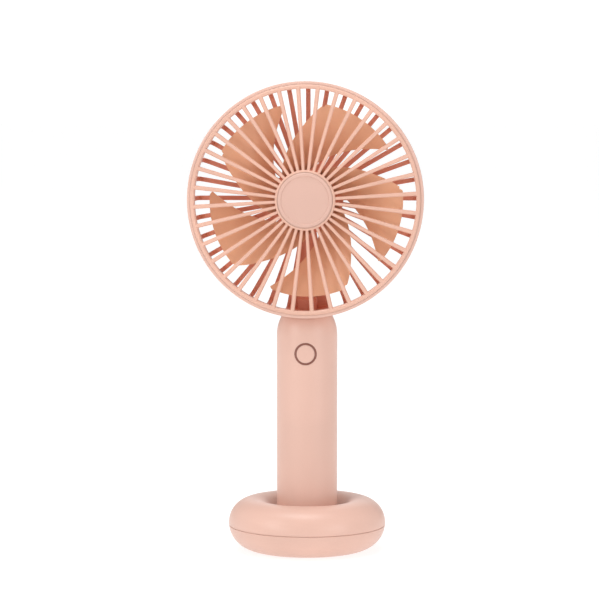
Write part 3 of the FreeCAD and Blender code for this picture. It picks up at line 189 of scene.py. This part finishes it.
def painted_inner_shade(nt, base):
    """The cage's inner faces: painted shade, a deeper terracotta that stands in for the shadow inside the pink
    moulding.
    """
    g = nt.nodes.new("ShaderNodeNewGeometry")
    sep = nt.nodes.new("ShaderNodeSeparateXYZ")
    nt.links.new(g.outputs["True Normal"], sep.inputs[0])
    tc = nt.nodes.new("ShaderNodeTexCoord")
    pos = nt.nodes.new("ShaderNodeSeparateXYZ")
    nt.links.new(tc.outputs["Object"], pos.inputs[0])
    # faces that look forward, and the flanks of the ribs near them
    ny = remap(nt, sep.outputs["Y"], 0.15, -0.25, 0.0, 1.0)
    zrel = mathn(nt, "SUBTRACT", pos.outputs["Z"], HEAD_Z)
    rr = mathn(nt, "SQRT", mathn(nt, "ADD", mathn(nt, "MULTIPLY", pos.outputs["X"], pos.outputs["X"]),
                                 mathn(nt, "MULTIPLY", zrel, zrel)))
    # radial part of the normal
    nx = mathn(nt, "DIVIDE", mathn(nt, "MULTIPLY", pos.outputs["X"], sep.outputs["X"]), rr)
    nz = mathn(nt, "DIVIDE", mathn(nt, "MULTIPLY", zrel, sep.outputs["Z"]), rr)
    nr = mathn(nt, "ADD", nx, nz)
    inward = remap(nt, nr, -0.10, -0.6, 0.0, 1.0)
    behind = remap(nt, pos.outputs["Y"], -0.0036, -0.0020, 0.0, 1.0)
    flank = remap(nt, pos.outputs["Y"], 0.0108, 0.0094, 0.0, 0.9)
    side = mathn(nt, "MULTIPLY", mathn(nt, "SUBTRACT", 1.0, mathn(nt, "ABSOLUTE", sep.outputs["Y"])), flank, clamp=True)
    inner_r = remap(nt, rr, 0.0500, 0.0485, 0.0, 1.0)
    side = mathn(nt, "MULTIPLY", side, inner_r)
    f = mathn(nt, "MAXIMUM", mathn(nt, "MAXIMUM", ny, inward), side)
    f = mathn(nt, "MULTIPLY", f, behind, clamp=True)
    above = remap(nt, zrel, -0.0530, -0.0515, 0.0, 1.0)
    f = mathn(nt, "MULTIPLY", f, above, clamp=True)
    # painted shade: the inner and forward-facing faces take the terracotta
    return mix(nt, f, base, PAINTED_SHADE_BRICK)


def painted_root_shade(nt, base):
    """The impeller's cup and blade roots: painted shade, darker near the hub where the hub shades them."""
    tc = nt.nodes.new("ShaderNodeTexCoord")
    pos = nt.nodes.new("ShaderNodeSeparateXYZ")
    nt.links.new(tc.outputs["Object"], pos.inputs[0])
    zrel = mathn(nt, "SUBTRACT", pos.outputs["Z"], HEAD_Z)
    rr = mathn(nt, "SQRT", mathn(nt, "ADD", mathn(nt, "MULTIPLY", pos.outputs["X"], pos.outputs["X"]),
                                 mathn(nt, "MULTIPLY", zrel, zrel)))
    # painted shade: darker towards the hub, down to a deep brick-brown
    return mix(nt, remap(nt, rr, 0.0136, 0.0160, 0.62, 0.0), base, (0.36, 0.13, 0.07))


M = {}
M["casing"] = moulded("pink_satin_casing", PINK, 0.36, spec=0.42)
M["grille"] = moulded("pink_satin_grille", RIB_FRONT, 0.42)
M["cap"] = moulded("pink_satin_cap", (0.675, 0.425, 0.348), 0.38)
# the rear cover's inner faces carry painted shade
M["rear"] = moulded("pink_satin_rear_cover", PINK, 0.38, spec=0.40, shade=painted_inner_shade)
# the blades carry painted shade at their roots
M["blade"] = moulded("tan_blade_plastic", TAN, 0.40, grain=4200.0, shade=painted_root_shade)
M["trim"] = moulded("dark_bezel_plastic", (0.235, 0.085, 0.060), 0.45)
M["black"] = moulded("black_plastic", (0.028, 0.028, 0.030), 0.45)
M["board"] = moulded("green_board", (0.02, 0.17, 0.07), 0.35, grain=3000.0)
M["steel"] = metal("plated_steel", (0.62, 0.61, 0.60), 0.32)
M["nickel"] = metal("nickel_plate", (0.74, 0.72, 0.68), 0.28)
M["brass"] = metal("brass_tab", (0.80, 0.60, 0.28), 0.30)
M["magnet"] = soft("sintered_magnet", (0.07, 0.07, 0.075), 0.6, 3200.0, 2e-5)
M["iron"] = metal("laminated_iron", (0.45, 0.43, 0.41), 0.42, stretch=(1, 60, 1), scale=500.0)
M["sleeve"] = moulded("cell_sleeve", (0.05, 0.20, 0.46), 0.30)
M["lead"] = soft("lead_insulation", (0.60, 0.045, 0.035), 0.45, 1800.0, 1e-5)
M["foam"] = soft("grey_foam", (0.13, 0.13, 0.135), 0.95, 1500.0, 1.2e-4)
M["foot"] = soft("foot_rubber", (0.56, 0.34, 0.29), 0.82, 2200.0, 3e-5)
M["weight"] = soft("cast_iron", (0.17, 0.17, 0.175), 0.62, 1200.0, 6e-5)

USE = {
    "front_grille": "grille", "front_hub_cap": "cap", "rear_cover": "rear", "rear_hub_cap": "casing",
    "fan_impeller": "blade", "motor_can": "steel", "motor_end_cap": "black",
    "motor_terminals": "brass", "motor_magnets": "magnet", "motor_rotor": "iron",
    "motor_shaft": "steel", "motor_leads": "lead", "battery_leads": "lead",
    "handle_front_shell": "casing", "handle_rear_shell": "casing", "handle_bottom_cap": "casing",
    "power_button": "casing", "button_bezel": "trim", "circuit_board": "board",
    "switch_body": "black", "switch_stem": "black", "usb_port_shell": "nickel",
    "usb_port_tongue": "black", "board_components": "black", "battery_cell": "sleeve",
    "battery_tabs": "nickel", "battery_pad": "foam", "handle_screws": "steel",
    "base_upper_shell": "casing", "base_lower_shell": "casing", "base_weight": "weight",
    "foot_ring": "foot", "base_screws": "steel",
}
for n, o in N.items():
    o.data.materials.clear()
    o.data.materials.append(M[USE[n]])


# ---------------------------------------------------------------- stage
def floor_mat():
    m, nt, bs = new_mat("studio_floor")
    co = coords(nt)
    base = mix(nt, remap(nt, noise(nt, co, 9.0, 2.0), 0.3, 0.7, 0.0, 1.0), (0.36, 0.36, 0.36), (0.40, 0.40, 0.40))
    nt.links.new(base, bs.inputs["Base Color"])
    bs.inputs["Roughness"].default_value = 0.85
    bs.inputs["Specular IOR Level"].default_value = 0.1
    # a lit sweep: it glows, so that it stays white with only a faint shadow
    bs.inputs["Emission Color"].default_value = (1, 1, 1, 1)
    bs.inputs["Emission Strength"].default_value = 0.75
    return m


import bmesh
bm = bmesh.new()
bmesh.ops.create_circle(bm, cap_ends=True, cap_tris=False, segments=96, radius=30.0)
me = bpy.data.meshes.new("floor")
bm.to_mesh(me)
bm.free()
floor = bpy.data.objects.new("studio_floor", me)
bpy.context.scene.collection.objects.link(floor)
floor.location = (0, 0, -0.00005)
me.materials.append(floor_mat())

# ---------------------------------------------------------------- light
world = bpy.data.worlds.new("studio")
bpy.context.scene.world = world
world.use_nodes = True
wn = world.node_tree
bg = wn.nodes["Background"]
tc = wn.nodes.new("ShaderNodeTexCoord")
sp = wn.nodes.new("ShaderNodeSeparateXYZ")
wn.links.new(tc.outputs["Generated"], sp.inputs[0])
st = remap(wn, sp.outputs["Y"], -0.25, 0.45, 0.45, 1.12)
# grey flags to the left and right of the backdrop, outside the picture, that draw the edges
ax = mathn(wn, "ABSOLUTE", sp.outputs["X"])
flag = mathn(wn, "MULTIPLY", remap(wn, ax, 0.20, 0.28, 0.0, 1.0), remap(wn, ax, 0.62, 0.95, 1.0, 0.0))
flag = mathn(wn, "MULTIPLY", flag, remap(wn, sp.outputs["Y"], 0.0, 0.3, 0.0, 0.62))
st = mathn(wn, "MULTIPLY", st, mathn(wn, "SUBTRACT", 1.0, flag))
wn.links.new(st, bg.inputs["Strength"])
bg.inputs["Color"].default_value = (1, 1, 1, 1)


def area(name, loc, target, size, power, col=(1, 1, 1)):
    l = bpy.data.lights.new(name, "AREA")
    l.shape = "RECTANGLE"
    l.size, l.size_y = size
    l.energy = power
    l.color = col
    o = bpy.data.objects.new(name, l)
    bpy.context.scene.collection.objects.link(o)
    o.location = loc
    o.rotation_euler = (Vector(target) - Vector(loc)).to_track_quat("-Z", "Y").to_euler()
    return o


area("key_left", (-1.15, -0.85, 0.78), (0, 0, 0.11), (0.40, 1.0), 5.6)
area("key_right", (1.15, -0.85, 0.45), (0, 0, 0.11), (0.30, 1.1), 3.3, (1.0, 0.97, 0.985))
area("top", (-0.16, -0.36, 2.00), (0, 0, 0.05), (1.35, 0.68), 18.2)
area("low_left", (-0.85, -1.05, 0.30), (0, 0, 0.05), (0.30, 0.30), 1.9, (1.0, 0.96, 0.94))
area("low_right", (0.85, -1.05, 0.30), (0, 0, 0.05), (0.30, 0.30), 1.5, (1.0, 0.96, 0.94))

# ---------------------------------------------------------------- camera
AZ, DIST, EYE, PITCH, YAW, FOCAL = 2.974, 1.06909, 0.19390, 4.475, 0.178, 2449.81
az = math.radians(AZ)
cam_d = bpy.data.cameras.new("camera")
cam = bpy.data.objects.new("camera", cam_d)
bpy.context.scene.collection.objects.link(cam)
cam.location = (DIST * math.sin(az), -DIST * math.cos(az), EYE)
th = math.atan2(-cam.location.y, -cam.location.x) + math.radians(YAW)
pt = math.radians(PITCH)
d = Vector((math.cos(th) * math.cos(pt), math.sin(th) * math.cos(pt), -math.sin(pt)))
cam.rotation_euler = d.to_track_quat("-Z", "Y").to_euler()
cam_d.sensor_width = 36.0
cam_d.sensor_fit = "HORIZONTAL"
cam_d.lens = FOCAL * 36.0 / 599.0
cam_d.clip_start = 0.01
cam_d.clip_end = 100.0
bpy.context.scene.camera = cam
bpy.context.scene.view_settings.view_transform = "Standard"
